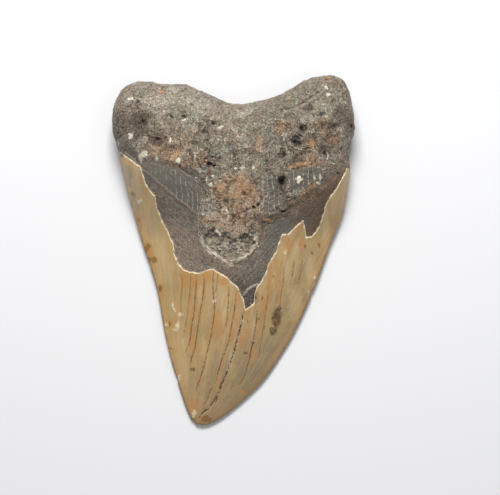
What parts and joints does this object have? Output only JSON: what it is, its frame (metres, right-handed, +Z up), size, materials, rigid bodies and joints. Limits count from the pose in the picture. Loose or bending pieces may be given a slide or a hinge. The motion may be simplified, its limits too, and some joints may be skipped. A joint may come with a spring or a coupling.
{
  "type": "fossil megalodon tooth",
  "caption": "Fossil megalodon tooth lying on its flat labial face, with a two-lobed porous root, a worn crown, chipped enamel and bare dentine between them.",
  "frame": {"origin": "under the middle of the tooth's box, on the surface that it rests on", "axes": "+Z up, out of the domed lingual face; +Y from the tip of the crown to the root; +X to the right as the lingual face is looked at with the tip down"},
  "size_m": [0.0826, 0.1192, 0.0243],
  "materials": {
    "fossil_tooth": "matte mineralised bone and dentine, satin enamel"
  },
  "bodies": {
    "root": {"tooth": "fossil_tooth"}
  },
  "joints": []
}
